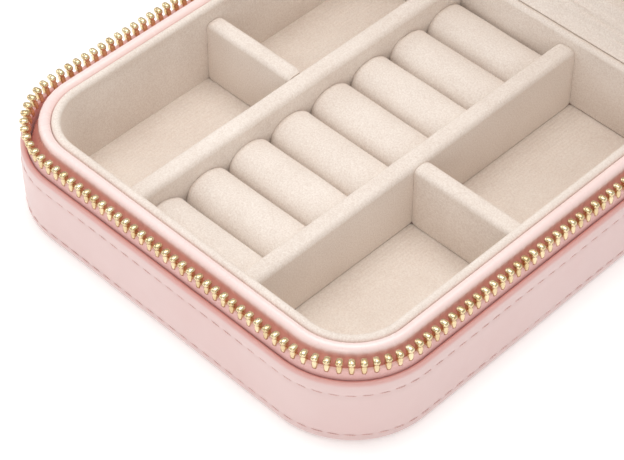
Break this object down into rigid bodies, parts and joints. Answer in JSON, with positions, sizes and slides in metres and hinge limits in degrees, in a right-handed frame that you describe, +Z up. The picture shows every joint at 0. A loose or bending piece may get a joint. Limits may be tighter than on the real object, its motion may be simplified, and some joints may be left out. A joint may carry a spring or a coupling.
{
  "type": "travel jewelry case",
  "caption": "Zip-around travel jewelry case with a soft-hinged lid, velvet-lined compartments, a bank of ring rolls and an elastic lid pocket.",
  "frame": {"origin": "middle of the underside of the base, on the surface the case stands on", "axes": "+Z up, +X to the case's right, -Y towards its front, +Y towards the hinge"},
  "size_m": [0.1188, 0.1464, 0.1474],
  "materials": {
    "shell_leather": "satin smooth pale rose faux leather",
    "rim_leather": "glossy pale rose faux leather",
    "lining_velvet": "soft beige velvet",
    "zip_tape": "woven zip tape",
    "elastic": "ribbed elastic",
    "zip_metal": "polished pale gold"
  },
  "bodies": {
    "base": {"base_bottom_panel": "shell_leather", "base_outer_wall": "shell_leather", "rim_frame": "rim_leather", "base_wall_lining": "lining_velvet", "floor_lining": "lining_velvet", "hinge_wall": "lining_velvet", "long_divider_left": "lining_velvet", "long_divider_right": "lining_velvet", "cross_divider_left": "lining_velvet", "cross_divider_right": "lining_velvet", "ring_roll_1": "lining_velvet", "ring_roll_2": "lining_velvet", "ring_roll_3": "lining_velvet", "ring_roll_4": "lining_velvet", "ring_roll_5": "lining_velvet", "ring_roll_6": "lining_velvet", "ring_roll_7": "lining_velvet", "ring_roll_8": "lining_velvet", "lower_zip_tape": "zip_tape", "lower_zip_teeth": "zip_metal", "lower_zip_stops": "zip_metal", "hinge_spine": "shell_leather", "hinge_lining": "lining_velvet"},
    "lid": {"lid_top_panel": "shell_leather", "lid_outer_wall": "shell_leather", "lid_wall_lining": "lining_velvet", "lid_pad": "lining_velvet", "elastic_pocket": "lining_velvet", "pocket_elastic": "elastic", "necklace_strap": "shell_leather", "snap_studs": "zip_metal", "upper_zip_tape": "zip_tape", "upper_zip_teeth": "zip_metal", "upper_zip_stops": "zip_metal"},
    "necklace_flap": {"necklace_flap": "shell_leather", "snap_caps": "zip_metal"},
    "zip_slider": {"zip_slider": "zip_metal", "pull_pin": "zip_metal"},
    "pull_tab": {"pull_tab": "zip_metal"}
  },
  "joints": [
    {"name": "lid_hinge", "type": "hinge", "parent": "base", "child": "lid", "pos_m": [0, 0.0617, 0.024], "axis": [1, 0, 0], "range_deg": [0, 90], "deforming": ["hinge_spine", "hinge_lining"]},
    {"name": "necklace_flap_hinge", "type": "hinge", "parent": "lid", "child": "necklace_flap", "pos_m": [0, 0.07815, 0.1312], "axis": [-1, 0, 0], "range_deg": [0, 120]},
    {"name": "zip_slider_travel", "type": "slide", "parent": "base", "child": "zip_slider", "axis": [0, -1, 0], "range_m": [0, 0.074]},
    {"name": "pull_tab_swing", "type": "hinge", "parent": "zip_slider", "child": "pull_tab", "pos_m": [0.05955, 0.038, 0.0256], "axis": [0, -1, 0], "range_deg": [0, 150]}
  ]
}
